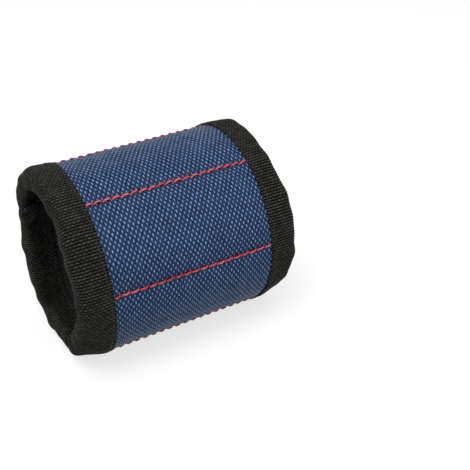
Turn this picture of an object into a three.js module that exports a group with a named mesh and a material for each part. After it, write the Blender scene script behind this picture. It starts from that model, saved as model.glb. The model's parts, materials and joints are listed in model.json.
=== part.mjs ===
// Magnetic wristband: a padded textile band with magnets in three stitched pockets, closed by a hook strap.
// Millimetres. +X runs from the left rim to the right rim, +Y points to the back of the band, +Z is up.
// The origin is on the surface that the closed band stands on, under the middle of its outline.
import * as THREE from "three";

// Band and wrap
const BAND_WIDTH = 92; // rim to rim
const WRAP_RADIUS = 38; // outer face of the cloth over the pockets
const POCKET_PITCH = 35.8; // between two pocket seams, along the outer face
const CENTRE_POCKET_ANGLE = 145; // way the middle pocket faces, from the back over the top
const BASE_PRESS = 3.5; // how far the underside is pressed flat
const BACK_INSET = 26; // where the flat underside ends, in from the wrap's back
const FRONT_CORNER_RADIUS = 14;
const BACK_CORNER_RADIUS = 18;
const STRAP_END_ANGLE = 15; // way the band faces where the strap comes out
const TUCK_RADIUS = 26; // bend of the tucked-in end
const TUCK_START_ANGLE = 10;
const TUCK_END_ANGLE = 35;

// Cloth layers
const OUTER_CLOTH = 1.0;
const LINING_CLOTH = 1.0;
const POCKET_BACKING = 1.2;
const PADDING = 1.3;
const LAYER_GAP = 0.2;
const SEAM_GAP = 0.4; // slit between two neighbouring panels, where the band folds

// Rims
const BINDING_REACH = 13; // tape width seen on each face
const BINDING_CLOTH = 0.7;
const RIM_SLOPE = 8; // width over which the edge curls inwards
const RIM_DROP = 3.5; // how far it curls
const RIM_STACK = 3.6; // thickness of the layers squeezed inside the tape

// Magnets
const MAGNET_LENGTH = 20; // along X
const MAGNET_WIDTH = 10;
const MAGNET_THICKNESS = 2;
const MAGNET_CORNER = 1;
const MAGNET_BEVEL = 0.2;
const MAGNET_CORNER_CUTS = 1;
const MAGNET_SPACING = 22; // between neighbours in one row
const MAGNET_ROW_OFFSET = 7.5; // each row from the middle of its pocket
const MAGNETS_PER_ROW = [3, 2];

// Closure
const STRAP_WIDTH = 50;
const STRAP_CLOTH = 1.3;
const STRAP_ROOT = 15; // length sewn inside the band
const STRAP_TIP_ANGLE = -48; // way the strap faces at its tip
const STRAP_TIP_CORNER = 12;
const HOOK_TAPE = 1.5;
const HOOK_INSET = 2; // strap edge left free round the hook tape
const HOOK_START = 4; // bare strap before the hook tape
const LOOP_TAPE = 1.4;
const LOOP_WIDTH = 56;
const LOOP_START = 13; // from the tucked-in end
const LOOP_LENGTH = 71;
const LOOP_CORNER = 6;
const CLOSURE_GAP = 0.3; // between the hooks and the loops
const HEM_TAPE = 0.7;
const HEM_WIDTH = 12;

// Pocket seams
const THREAD_RADIUS = 0.35;
const THREAD_RISE = 0.3; // height of each stitch's crown over its ends
const THREAD_CUTS = 3;
const STITCH_LENGTH = 3.2;
const SEAM_END_GAP = 0.8; // from the last stitch to the binding tape

// Facets
const FACET_ANGLE = 6; // largest turn of one facet of the wrap, in degrees
const ROUNDING = 1e-6; // shorter stretches and smaller turns count as none
const CORNER_CUT_ANGLES = [0, 25, 50, 70]; // where a rounded strip corner breaks, in degrees

// Sizes that follow
const radians = THREE.MathUtils.degToRad;
const halfBand = BAND_WIDTH / 2;
const bindingStart = halfBand - BINDING_REACH;
const slopeStart = halfBand - RIM_SLOPE;
const rimWall = halfBand - BINDING_CLOTH; // inside of the tape at the rim
const clothEdge = rimWall - LAYER_GAP;
const proud = LAYER_GAP + BINDING_CLOTH; // tape above the cloth
const baseDepth = WRAP_RADIUS - BASE_PRESS;
const baseBack = WRAP_RADIUS - BACK_INSET; // flat underside's end, behind the band's axis
const magnetSag = (MAGNET_WIDTH / 2) ** 2 / (2 * (WRAP_RADIUS - OUTER_CLOTH));
const magnetTop = OUTER_CLOTH + LAYER_GAP + magnetSag;
const backingTop = magnetTop + MAGNET_THICKNESS + LAYER_GAP;
const pocketThickness = backingTop + POCKET_BACKING + LAYER_GAP + LINING_CLOTH;
const paddingTop = OUTER_CLOTH + LAYER_GAP;
const endThickness = paddingTop + Math.max(PADDING, STRAP_CLOTH) + LAYER_GAP + LINING_CLOTH;
const strapStack = STRAP_CLOTH + LAYER_GAP + HOOK_TAPE; // strap face to hook tips
const loopTop = LAYER_GAP + LOOP_TAPE; // loop pile above the cloth
const closureStack = strapStack + CLOSURE_GAP + loopTop; // strap face to the cloth below
const floor = baseDepth + Math.max(proud, loopTop); // band's axis above the surface it stands on

// Looks
function finish(color, roughness, metalness = 0) {
  return new THREE.MeshStandardMaterial({ color, roughness, metalness });
}

const outerCloth = finish(0x2c4a86, 0.8);
const bindingTape = finish(0x1b1b1d, 0.85);
const meshLining = finish(0x161618, 0.9);
const foam = finish(0x3a3a3c, 0.95);
const nickel = finish(0xb8bcc0, 0.3, 1);
const webbing = finish(0x18181a, 0.85);
const hookPlastic = finish(0x101012, 0.6);
const loopPile = finish(0x141416, 0.95);
const redThread = finish(0xc23a50, 0.6);

// Lines that the band follows, seen along the band's axis as (y, z).
// A stretch is an arc or a straight, and every stretch is walked with that axis on its right.
function along(angle, length = 1) {
  return new THREE.Vector2(length * Math.cos(radians(angle)), length * Math.sin(radians(angle)));
}

function arc(centre, radius, from, to) {
  return {
    length: radius * radians(from - to),
    turn: from - to,
    at: (share) => {
      const facing = THREE.MathUtils.lerp(from, to, share);
      return { point: along(facing, radius).add(centre), facing };
    },
  };
}

function straight(start, end, facing) {
  return {
    length: start.distanceTo(end),
    turn: 0,
    at: (share) => ({ point: start.clone().lerp(end, share), facing }),
  };
}

function line(stretches) {
  const starts = [0];
  stretches.forEach((stretch) => starts.push(starts.at(-1) + stretch.length));
  const length = starts.at(-1);
  const at = (distance) => {
    const last = stretches.length - 1;
    const found = stretches.findIndex((stretch, i) => distance <= starts[i + 1]);
    const index = found < 0 ? last : found;
    return stretches[index].at((distance - starts[index]) / stretches[index].length);
  };
  // Where the facets of a panel between two distances begin and end.
  const facets = (from, to) => {
    const cuts = [from];
    stretches.forEach((stretch, i) => {
      const low = Math.max(from, starts[i]);
      const high = Math.min(to, starts[i + 1]);
      if (high - low < ROUNDING) return;
      const turn = (stretch.turn * (high - low)) / stretch.length;
      const count = Math.max(1, Math.ceil(turn / FACET_ANGLE - ROUNDING));
      for (let k = 1; k <= count; k += 1) cuts.push(low + ((high - low) * k) / count);
    });
    return cuts;
  };
  return { length, at, facets };
}

// The strap leaves the band between its two cloths and swings on to the back corner.
const axis = new THREE.Vector2(0, 0);
const backCorner = new THREE.Vector2(baseBack, BACK_CORNER_RADIUS - baseDepth);
const strapStart = along(STRAP_END_ANGLE, WRAP_RADIUS - paddingTop);
const strapWay = along(STRAP_END_ANGLE);
const strapCornerRadius = BACK_CORNER_RADIUS + closureStack;
const toStrap = strapStart.clone().sub(backCorner);
const strapReach = toStrap.dot(strapWay) - strapCornerRadius;
const strapRadius = (toStrap.lengthSq() - strapCornerRadius ** 2) / (2 * strapReach);
const strapCentre = strapStart.clone().addScaledVector(strapWay, -strapRadius);
const toCorner = backCorner.clone().sub(strapCentre);
const backTurn = THREE.MathUtils.radToDeg(Math.atan2(toCorner.y, toCorner.x));
const strapLine = line([
  arc(strapCentre, strapRadius, STRAP_END_ANGLE, backTurn),
  arc(backCorner, strapCornerRadius, backTurn, STRAP_TIP_ANGLE),
]);

// The band starts at its tucked-in end and goes down the back, under, up the front and over to the strap.
const backRadius = strapRadius - closureStack;
const tuckCentre = strapCentre.clone().add(along(TUCK_START_ANGLE, backRadius - TUCK_RADIUS));
const frontCornerRise = FRONT_CORNER_RADIUS - baseDepth;
const frontCorner = new THREE.Vector2(
  -Math.sqrt((WRAP_RADIUS - FRONT_CORNER_RADIUS) ** 2 - frontCornerRise ** 2),
  frontCornerRise,
);
const frontTurn = THREE.MathUtils.radToDeg(Math.atan2(frontCorner.y, frontCorner.x));
const DOWN = -90;
const bandStretches = [
  arc(tuckCentre, TUCK_RADIUS, TUCK_END_ANGLE, TUCK_START_ANGLE),
  arc(strapCentre, backRadius, TUCK_START_ANGLE, backTurn),
  arc(backCorner, BACK_CORNER_RADIUS, backTurn, DOWN),
  straight(new THREE.Vector2(baseBack, -baseDepth), new THREE.Vector2(frontCorner.x, -baseDepth), DOWN),
  arc(frontCorner, FRONT_CORNER_RADIUS, DOWN, frontTurn),
  arc(axis, WRAP_RADIUS, frontTurn, STRAP_END_ANGLE - 360),
];
const bandLine = line(bandStretches);

// Distances along the band.
const circleTurn = frontTurn - (CENTRE_POCKET_ANGLE - 360);
const centrePocket = bandLine.length - bandStretches.at(-1).length + WRAP_RADIUS * radians(circleTurn);
const seams = [1.5, 0.5, -0.5, -1.5].map((pitches) => centrePocket + pitches * POCKET_PITCH);
const [seamTop, seamUpper, seamLower, seamBase] = seams;
const strapRootStart = bandLine.length - STRAP_ROOT;

// A closed solid swept along a line, with facets that also break at the given distances.
// section(distance) gives its outline as [across the band, out from the line].
function swept(onLine, from, to, section, breaks = []) {
  const cuts = [...onLine.facets(from, to), ...breaks].sort((a, b) => a - b);
  const rings = cuts.map((distance) => {
    const outline = section(distance).map(([x, out]) => new THREE.Vector2(x, out));
    return THREE.ShapeUtils.isClockWise(outline) ? outline.reverse() : outline;
  });
  const sides = rings[0].length;
  const vertices = rings.flatMap((ring, i) => {
    const { point, facing } = onLine.at(cuts[i]);
    const way = along(facing);
    return ring.flatMap(({ x, y: out }) => [x, point.x + way.x * out, point.y + way.y * out]);
  });
  const faces = [];
  for (let i = 0; i + 1 < rings.length; i += 1) {
    for (let k = 0; k < sides; k += 1) {
      const here = i * sides + k;
      const beside = i * sides + ((k + 1) % sides);
      faces.push(here, here + sides, beside + sides, here, beside + sides, beside);
    }
  }
  const last = (rings.length - 1) * sides;
  const firstCap = THREE.ShapeUtils.triangulateShape(rings[0], []);
  const lastCap = THREE.ShapeUtils.triangulateShape(rings.at(-1), []);
  firstCap.forEach(([a, b, c]) => faces.push(a, b, c));
  lastCap.forEach(([a, b, c]) => faces.push(last + c, last + b, last + a));
  const geometry = new THREE.BufferGeometry();
  geometry.setAttribute("position", new THREE.Float32BufferAttribute(vertices, 3));
  geometry.setIndex(faces);
  geometry.computeVertexNormals();
  return geometry;
}

// Outlines across the band
function flatStrip(half, top, thickness) {
  const under = -top - thickness;
  return () => [[-half, under], [half, under], [half, -top], [-half, -top]];
}

// A cloth from rim to rim: flat in the middle, bent inwards inside the tapes.
// The tapes may press it down a little from where they start.
function rimToRim(top, thickness, rimTop, pressed = 0) {
  const half = [[bindingStart - SEAM_GAP, -top], [slopeStart, -top - pressed], [clothEdge, -rimTop]];
  const upper = [...half.map(([x, out]) => [-x, out]).reverse(), ...half];
  const lower = upper.map(([x, out]) => [x, out - thickness]).reverse();
  return () => [...upper, ...lower];
}

// The tape folded over one rim, round a stack of the given thickness.
function foldedTape(side, thickness) {
  const rimTop = -RIM_DROP;
  const rimBottom = -RIM_DROP - RIM_STACK;
  const outerLeg = [
    [bindingStart, proud], [slopeStart, proud],
    [rimWall, rimTop + proud], [halfBand, rimTop],
  ];
  const innerLeg = [
    [halfBand, rimBottom], [rimWall, rimBottom - proud],
    [slopeStart, -thickness - proud], [bindingStart, -thickness - proud],
  ];
  const fold = [
    [bindingStart, -thickness - LAYER_GAP], [slopeStart, -thickness - LAYER_GAP],
    [rimWall, rimBottom - LAYER_GAP], [rimWall, rimTop + LAYER_GAP],
    [slopeStart, LAYER_GAP], [bindingStart, LAYER_GAP],
  ];
  const outline = [...outerLeg, ...innerLeg, ...fold];
  return () => outline.map(([x, out]) => [side * x, out]);
}

// A strip swept along a line whose far end is rounded off at the corners.
function roundedStrip(onLine, from, to, corner, half, top, thickness) {
  const section = (distance) => {
    const past = Math.max(0, distance - (to - corner));
    const width = half - corner + Math.sqrt(Math.max(0, corner ** 2 - past ** 2));
    return flatStrip(width, top, thickness)();
  };
  const breaks = CORNER_CUT_ANGLES.map((angle) => to - corner * (1 - Math.sin(radians(angle))));
  return swept(onLine, from, to, section, breaks);
}

// Places a piece that lies on the band: local Z points out of the band, local X along its axis.
function lieOnBand(mesh, distance, x, out) {
  const { point, facing } = bandLine.at(distance);
  const way = along(facing, out);
  mesh.position.set(x, point.x + way.x, point.y + way.y);
  mesh.rotation.x = radians(facing - 90);
  return mesh;
}

const named = (name, geometry, material) => Object.assign(new THREE.Mesh(geometry, material), { name });

// Cloth layers and rim tapes that every stretch of the band has
function clothStretch(name, from, to, thickness) {
  const group = new THREE.Group();
  const liningTop = thickness - LINING_CLOTH;
  const liningRim = RIM_DROP + RIM_STACK - LINING_CLOTH;
  const sweep = (section) => swept(bandLine, from, to, section);
  group.add(
    named(`${name}_outer_cloth`, sweep(rimToRim(0, OUTER_CLOTH, RIM_DROP, LAYER_GAP)), outerCloth),
    named(`${name}_lining`, sweep(rimToRim(liningTop, LINING_CLOTH, liningRim)), meshLining),
    named(`${name}_left_binding`, sweep(foldedTape(-1, thickness)), bindingTape),
    named(`${name}_right_binding`, sweep(foldedTape(1, thickness)), bindingTape),
  );
  return group;
}

const paddingHalf = bindingStart;
const hemHalf = bindingStart - LAYER_GAP;

function magnet() {
  const half = { x: MAGNET_LENGTH / 2 - MAGNET_BEVEL, y: MAGNET_WIDTH / 2 - MAGNET_BEVEL };
  const corner = MAGNET_CORNER - MAGNET_BEVEL;
  const shape = new THREE.Shape();
  shape.absarc(half.x - corner, half.y - corner, corner, 0, Math.PI / 2);
  shape.absarc(corner - half.x, half.y - corner, corner, Math.PI / 2, Math.PI);
  shape.absarc(corner - half.x, corner - half.y, corner, Math.PI, Math.PI * 1.5);
  shape.absarc(half.x - corner, corner - half.y, corner, Math.PI * 1.5, Math.PI * 2);
  return new THREE.ExtrudeGeometry(shape, {
    depth: MAGNET_THICKNESS - 2 * MAGNET_BEVEL,
    bevelThickness: MAGNET_BEVEL,
    bevelSize: MAGNET_BEVEL,
    bevelSegments: 1,
    curveSegments: MAGNET_CORNER_CUTS,
  });
}

// A magnet pocket between two seams
function pocket(name, from, to) {
  const group = clothStretch(name, from, to, pocketThickness);
  const backing = swept(bandLine, from, to, flatStrip(paddingHalf, backingTop, POCKET_BACKING));
  group.add(named(`${name}_backing`, backing, foam));
  const rowPlaces = [-MAGNET_ROW_OFFSET, MAGNET_ROW_OFFSET];
  let count = 0;
  MAGNETS_PER_ROW.forEach((inRow, row) => {
    for (let k = 0; k < inRow; k += 1) {
      count += 1;
      const x = (k - (inRow - 1) / 2) * MAGNET_SPACING;
      const piece = named(`${name}_magnet_${count}`, magnet(), nickel);
      const seat = MAGNET_BEVEL - magnetTop - MAGNET_THICKNESS;
      group.add(lieOnBand(piece, (from + to) / 2 + rowPlaces[row], x, seat));
    }
  });
  return group;
}

// One row of red lockstitches across the band: a thread that rises over each stitch and dips between them.
function seamRow(name, distance) {
  const span = 2 * (bindingStart - SEAM_END_GAP);
  const stitches = Math.max(1, Math.round(span / STITCH_LENGTH));
  const points = [];
  for (let i = 0; i <= 2 * stitches; i += 1) {
    points.push(new THREE.Vector3((i / (2 * stitches) - 0.5) * span, 0, i % 2 ? THREAD_RISE : 0));
  }
  const section = new THREE.Shape().absarc(0, 0, THREAD_RADIUS, 0, Math.PI * 2);
  const path = new THREE.CatmullRomCurve3(points);
  const steps = 2 * stitches;
  const thread = new THREE.ExtrudeGeometry(section, { extrudePath: path, steps, curveSegments: THREAD_CUTS });
  return lieOnBand(named(name, thread, redThread), distance, 0, LAYER_GAP + THREAD_RADIUS);
}

// The end that goes under: it carries the loop patch and a folded tape across its edge.
function loopEnd(from, to) {
  const group = clothStretch("loop_end", from, to, endThickness);
  const loopFar = LOOP_START + LOOP_LENGTH;
  const loop = roundedStrip(bandLine, LOOP_START, loopFar, LOOP_CORNER, LOOP_WIDTH / 2, -loopTop, LOOP_TAPE);
  const hem = (top) => swept(bandLine, from, from + HEM_WIDTH, flatStrip(hemHalf, top, HEM_TAPE));
  const padding = swept(bandLine, from, to, flatStrip(paddingHalf, paddingTop, PADDING));
  group.add(
    named("loop_end_padding", padding, foam),
    named("loop_patch", loop, loopPile),
    named("loop_end_outer_hem", hem(-LAYER_GAP - HEM_TAPE), bindingTape),
    named("loop_end_inner_hem", hem(endThickness + LAYER_GAP), bindingTape),
  );
  return group;
}

// The end that goes over: the strap is sewn in between its cloths.
function strapEnd(from, to) {
  const group = clothStretch("strap_end", from, to, endThickness);
  const paddingEnd = strapRootStart - SEAM_GAP;
  const padding = swept(bandLine, from, paddingEnd, flatStrip(paddingHalf, paddingTop, PADDING));
  const root = swept(bandLine, strapRootStart, to, flatStrip(STRAP_WIDTH / 2, paddingTop, STRAP_CLOTH));
  const hem = swept(bandLine, to - HEM_WIDTH, to, flatStrip(hemHalf, -LAYER_GAP - HEM_TAPE, HEM_TAPE));
  group.add(
    named("strap_end_padding", padding, foam),
    named("strap_root", root, webbing),
    named("strap_end_hem", hem, bindingTape),
  );
  return group;
}

// The strap that peels off, with its hook tape facing the loop patch
function closureStrap() {
  const group = new THREE.Group();
  const tip = strapLine.length;
  const hookTip = tip - HOOK_INSET;
  const strapHalf = STRAP_WIDTH / 2;
  const strap = roundedStrip(strapLine, SEAM_GAP, tip, STRAP_TIP_CORNER, strapHalf, 0, STRAP_CLOTH);
  const hookTop = STRAP_CLOTH + LAYER_GAP;
  const hookHalf = strapHalf - HOOK_INSET;
  const hookCorner = STRAP_TIP_CORNER - HOOK_INSET;
  const hook = roundedStrip(strapLine, HOOK_START, hookTip, hookCorner, hookHalf, hookTop, HOOK_TAPE);
  group.add(named("closure_strap", strap, webbing), named("hook_tape", hook, hookPlastic));
  return group;
}

const slit = SEAM_GAP / 2;
const wristband = new THREE.Group();
wristband.add(
  loopEnd(0, seamBase - slit),
  pocket("lower_pocket", seamBase + slit, seamLower - slit),
  pocket("centre_pocket", seamLower + slit, seamUpper - slit),
  pocket("upper_pocket", seamUpper + slit, seamTop - slit),
  strapEnd(seamTop + slit, bandLine.length),
  closureStrap(),
  seamRow("top_seam_stitching", seamTop),
  seamRow("upper_seam_stitching", seamUpper),
  seamRow("lower_seam_stitching", seamLower),
  seamRow("base_seam_stitching", seamBase),
);

// Stand the band on its flat underside, with the middle of its outline over the origin.
const outline = new THREE.Box3().setFromObject(wristband);
wristband.position.set(0, -(outline.min.y + outline.max.y) / 2, floor);

export default wristband;
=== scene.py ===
# Magnetic wristband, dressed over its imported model, in the model's own frame and in metres.
import json
import math

import bpy
import numpy as np
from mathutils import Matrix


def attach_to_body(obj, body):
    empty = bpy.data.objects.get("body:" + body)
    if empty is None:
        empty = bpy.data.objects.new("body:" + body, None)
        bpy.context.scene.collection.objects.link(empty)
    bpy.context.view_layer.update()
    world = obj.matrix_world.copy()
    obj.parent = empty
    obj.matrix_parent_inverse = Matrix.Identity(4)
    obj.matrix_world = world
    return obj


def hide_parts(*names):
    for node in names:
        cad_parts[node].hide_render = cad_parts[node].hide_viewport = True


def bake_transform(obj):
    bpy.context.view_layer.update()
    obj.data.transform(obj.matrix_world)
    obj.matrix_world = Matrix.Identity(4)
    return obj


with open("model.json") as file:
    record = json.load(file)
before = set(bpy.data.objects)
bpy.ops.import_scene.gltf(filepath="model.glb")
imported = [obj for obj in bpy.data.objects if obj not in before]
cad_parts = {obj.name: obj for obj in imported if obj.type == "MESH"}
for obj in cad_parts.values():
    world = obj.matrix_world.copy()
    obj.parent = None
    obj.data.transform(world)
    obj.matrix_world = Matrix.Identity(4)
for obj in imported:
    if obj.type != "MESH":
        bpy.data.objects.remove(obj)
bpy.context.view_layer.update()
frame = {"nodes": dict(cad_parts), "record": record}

# Outer cloth: one strip of coarse navy ballistic nylon over the whole outer face of the band.
# The layers are sewn together flat and then bent into a ring, so each cloth here is cut flat
# and wrapped. It is shown in five lengths, each of which lies over one pocket seam at most.
MM = 0.001
WRAP_RADIUS = 38.0  # outer face over the pockets; all sizes are in millimetres
BASE_DEPTH = 34.5  # flat underside, below the band's axis
BACK_CORNER = np.array([12.0, -16.5])  # about which the band turns up behind, from its axis
BACK_CORNER_RADIUS = 18.0
FRONT_CORNER_RADIUS = 14.0
STRAP_END_FACING = 15.0  # way the band faces at its upper end, in degrees from the back over the top
STRAP_DEPTH = 1.2  # strap face below the cloth face
CLOSURE_STACK = 4.9  # strap face to the cloth under it
TUCK_RADIUS = 26.0
TUCK_FACINGS = (35.0, 10.0)
DOWN = -90.0
POCKET_PITCH = 35.8
CENTRE_POCKET_FACING = 145.0
axis_mount = next(mount for mount in frame["record"]["mounts"] if mount["name"] == "wrist")
BAND_AXIS = np.array(axis_mount["pos_m"][1:]) / MM


def toward(facing):
    """Unit step (y, z) in the direction of a facing."""
    turn = np.radians(facing)
    return np.stack([np.cos(turn), np.sin(turn)], axis=-1)


def facing_of(step):
    return math.degrees(math.atan2(step[1], step[0]))


def arc(centre, radius, first, last):
    """Length of a bend, and its points and facings at shares of that length."""
    def place(share):
        facing = first + (last - first) * share
        return centre + radius * toward(facing), facing
    return radius * math.radians(first - last), place


def straight(first, last, facing):
    def place(share):
        return first + np.outer(share, last - first), np.full(len(share), facing)
    return math.dist(first, last), place


def follow(line, distances):
    """Points (y, z) from the band's axis, and facings, at distances along a line."""
    points = np.empty((len(distances), 2))
    facings = np.empty(len(distances))
    begin = 0.0
    for number, (length, place) in enumerate(line):
        here = (distances >= begin) | (number == 0)
        points[here], facings[here] = place((distances[here] - begin) / length)
        begin += length
    return points, facings


def length_of(line):
    return sum(length for length, place in line)


strap_start = toward(STRAP_END_FACING) * (WRAP_RADIUS - STRAP_DEPTH)
strap_corner_radius = BACK_CORNER_RADIUS + CLOSURE_STACK
to_strap = strap_start - BACK_CORNER
strap_reach = to_strap @ toward(STRAP_END_FACING) - strap_corner_radius
strap_radius = (to_strap @ to_strap - strap_corner_radius**2) / (2 * strap_reach)
strap_centre = strap_start - strap_radius * toward(STRAP_END_FACING)
back_facing = facing_of(BACK_CORNER - strap_centre)
back_radius = strap_radius - CLOSURE_STACK
tuck_centre = strap_centre + toward(TUCK_FACINGS[1]) * (back_radius - TUCK_RADIUS)
front_rise = FRONT_CORNER_RADIUS - BASE_DEPTH
front_reach = math.sqrt((WRAP_RADIUS - FRONT_CORNER_RADIUS) ** 2 - front_rise**2)
front_corner = np.array([-front_reach, front_rise])
front_facing = facing_of(front_corner)
base_back = np.array([BACK_CORNER[0], -BASE_DEPTH])
base_front = np.array([front_corner[0], -BASE_DEPTH])
band_line = [
    arc(tuck_centre, TUCK_RADIUS, *TUCK_FACINGS),
    arc(strap_centre, back_radius, TUCK_FACINGS[1], back_facing),
    arc(BACK_CORNER, BACK_CORNER_RADIUS, back_facing, DOWN),
    straight(base_back, base_front, DOWN),
    arc(front_corner, FRONT_CORNER_RADIUS, DOWN, front_facing),
    arc(np.zeros(2), WRAP_RADIUS, front_facing, STRAP_END_FACING - 360),
]
BAND_END = length_of(band_line)
pocket_turn = front_facing - (CENTRE_POCKET_FACING - 360)
centre_pocket = length_of(band_line[:-1]) + WRAP_RADIUS * math.radians(pocket_turn)
seams = {
    "base": centre_pocket - 1.5 * POCKET_PITCH,
    "lower": centre_pocket - 0.5 * POCKET_PITCH,
    "upper": centre_pocket + 0.5 * POCKET_PITCH,
    "top": centre_pocket + 1.5 * POCKET_PITCH,
}
lower_middle = centre_pocket - POCKET_PITCH
upper_middle = centre_pocket + POCKET_PITCH
pocket_middles = {
    "lower_pocket": lower_middle, "centre_pocket": centre_pocket, "upper_pocket": upper_middle}
UNDERSIDE_CUT = 76.0  # where the length of the tucked end meets the next one

# Each length: where it starts and ends, the seam that it lies over, and the bodies on its two sides.
lengths = {
    "tucked_end": (0.0, UNDERSIDE_CUT, None, ["loop_end"]),
    "base_fold": (UNDERSIDE_CUT, lower_middle, "base", ["loop_end", "lower_pocket"]),
    "lower_fold": (lower_middle, centre_pocket, "lower", ["lower_pocket", "centre_pocket"]),
    "upper_fold": (centre_pocket, upper_middle, "upper", ["centre_pocket", "upper_pocket"]),
    "top_fold": (upper_middle, BAND_END, "top", ["upper_pocket", "strap_end"]),
}


def in_frame(points):
    """Points (y, z) in millimetres from the band's axis, as points of the frame in metres."""
    ring = (np.atleast_2d(points) + BAND_AXIS) * MM
    return np.column_stack([np.zeros(len(ring)), ring])


def attach(piece, seam, bodies):
    """Rides a piece on its one body, or, for a piece that lies over a seam, bakes its place into its mesh.
    """
    if seam is None:
        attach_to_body(piece, bodies[0])
        return
    points, facings = follow(band_line, np.array([seams[seam]]))
    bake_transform(piece)


def pick(piece):
    """Selects one object alone and makes it the active one."""
    bpy.ops.object.select_all(action="DESELECT")
    piece.select_set(True)
    bpy.context.view_layer.objects.active = piece


def finish_with(piece, kind, **settings):
    """Adds a modifier with its settings and applies it."""
    pick(piece)
    made = piece.modifiers.new(kind.title(), kind)
    for name, value in settings.items():
        setattr(made, name, value)
    bpy.ops.object.modifier_apply(modifier=made.name)


def newest(name):
    """The object that an operator has just added, with its name."""
    piece = bpy.context.object
    piece.name = name
    piece.data.name = name
    return piece


def flat_cut(name, near, far, step, thickness):
    """A flat rectangle of cloth between two corners (across, along), with its face at height 0."""
    size = np.subtract(far, near)
    cells = [int(max(1, round(side / width))) for side, width in zip(size, step)]
    middle = np.add(near, far) / 2 * MM
    bpy.ops.mesh.primitive_grid_add(
        x_subdivisions=cells[0], y_subdivisions=cells[1], size=MM, location=(*middle, 0))
    piece = newest(name)
    piece.scale = (*size, 1)
    bpy.ops.object.transform_apply(location=True, rotation=False, scale=True)
    finish_with(piece, "SOLIDIFY", thickness=thickness * MM, offset=-1)
    return piece


def flat_points(piece):
    """Vertices of a piece that still lies flat: across, along and out, in millimetres."""
    points = np.empty(len(piece.data.vertices) * 3, np.float32)
    piece.data.vertices.foreach_get("co", points)
    return points.reshape(-1, 3).astype(float) / MM


def keep_flat(piece, flat):
    """Keeps the cut's own coordinates on the mesh, for weaves that follow the cloth."""
    marks = piece.data.attributes.new("flat", "FLOAT_VECTOR", "POINT")
    on_face = flat * [1, 1, 0]
    marks.data.foreach_set("vector", on_face.astype(np.float32).ravel())


def mark(piece, name, values):
    """Keeps one number for each vertex on the mesh, for the piece's material."""
    marks = piece.data.attributes.new(name, "FLOAT", "POINT")
    marks.data.foreach_set("value", values.astype(np.float32))


def move_vertices(piece, points):
    """Puts the vertices of a piece at points in metres."""
    piece.data.vertices.foreach_set("co", points.astype(np.float32).ravel())
    piece.data.update()


SHARP_ANGLE = 50  # edges that turn by more degrees than this stay crisp


def wrap(piece, flat, material, line=band_line):
    """Bends a flat piece round a line, shades it smooth and gives it its material."""
    points, facings = follow(line, flat[:, 1])
    placed = in_frame(points + toward(facings) * flat[:, 2:])
    placed[:, 0] = flat[:, 0] * MM
    move_vertices(piece, placed)
    pick(piece)
    bpy.ops.object.shade_smooth_by_angle(angle=math.radians(SHARP_ANGLE))
    piece.data.materials.append(material)


def ramp(values, low, high):
    """0 at low, 1 at high, smooth between them."""
    share = np.clip((values - low) / (high - low), 0, 1)
    return share * share * (3 - 2 * share)


def between(first, second, share):
    return first + (second - first) * share


def linear(hex_colour):
    """An sRGB hex colour as the linear colour that shaders take."""
    parts = [int(hex_colour[place:place + 2], 16) / 255 for place in (1, 3, 5)]
    bright = [part / 12.92 if part <= 0.04045 else ((part + 0.055) / 1.055) ** 2.4 for part in parts]
    return (*bright, 1.0)


def feed(material, node, inputs):
    """Gives each input of a node a value, or a link from a socket or a node's first output."""
    for socket, value in inputs.items():
        if isinstance(value, bpy.types.Node):
            value = value.outputs[0]
        if isinstance(value, bpy.types.NodeSocket):
            material.node_tree.links.new(value, node.inputs[socket])
        else:
            node.inputs[socket].default_value = value


def add_node(material, kind, inputs, **settings):
    node = material.node_tree.nodes.new(f"ShaderNode{kind}")
    for name, value in settings.items():
        setattr(node, name, value)
    feed(material, node, inputs)
    return node


def new_material(name):
    material = bpy.data.materials.new(name)
    material.use_nodes = True
    return material, material.node_tree.nodes["Principled BSDF"]


def yarn_swell(material, place):
    """Height of round yarns that lie side by side, one to each whole step of place."""
    turn = add_node(material, "Math", {0: place, 1: math.pi}, operation="MULTIPLY")
    wave = add_node(material, "Math", {0: turn}, operation="SINE")
    return add_node(material, "Math", {0: wave}, operation="ABSOLUTE")


# Ballistic nylon in plain weave: thick filament yarns that go over and under each other. The yarns
# along the band catch the light and the ones across it lie lower, so the navy cloth is full of
# pale specks. That light and shade is painted into the colour: a painted highlight on the yarns
# along the band, painted shade on the ones across it, and darker painted shade in the gaps.
YARN_PITCH = (0.95, 1.43)  # across and along
YARN_NARROWNESS = {"X": 1.8, "Y": 0.7}  # how sharply a yarn falls off, across and along
YARN_HEIGHT = 0.25
WEFT_HEIGHT = 0.45  # of the height of a yarn that lies on top
SHADE_PATCH = 16.0  # size of the slightly paler and darker areas
CELL_MIDDLE = (0, 0, 0.5)  # keeps the flat cut off the edge between two layers of the checker
# Sockets of a Mix node for colours, which share their names with its other sockets.
SHARE = 0
FROM = 6
TO = 7
MIXED = 2
nylon, nylon_shader = new_material("ballistic_nylon_plain_weave")
nylon_cut = add_node(nylon, "Attribute", {}, attribute_name="flat")
yarns = add_node(
    nylon, "VectorMath",
    {0: nylon_cut.outputs["Vector"], 1: (1 / YARN_PITCH[0], 1 / YARN_PITCH[1], 0)},
    operation="MULTIPLY")
crossing = add_node(nylon, "VectorMath", {0: yarns, 1: CELL_MIDDLE}, operation="ADD")
warp_on_top = add_node(nylon, "TexChecker", {"Vector": crossing, "Scale": 1.0})
yarn_place = add_node(nylon, "SeparateXYZ", {"Vector": yarns})
rounds = []
for way, narrowness in YARN_NARROWNESS.items():
    swell = yarn_swell(nylon, yarn_place.outputs[way])
    rounds.append(add_node(nylon, "Math", {0: swell, 1: narrowness}, operation="POWER"))
crown = add_node(nylon, "Math", {0: rounds[0], 1: rounds[1]}, operation="MULTIPLY")
weft_height = add_node(nylon, "Math", {0: crown, 1: WEFT_HEIGHT}, operation="MULTIPLY")
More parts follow.
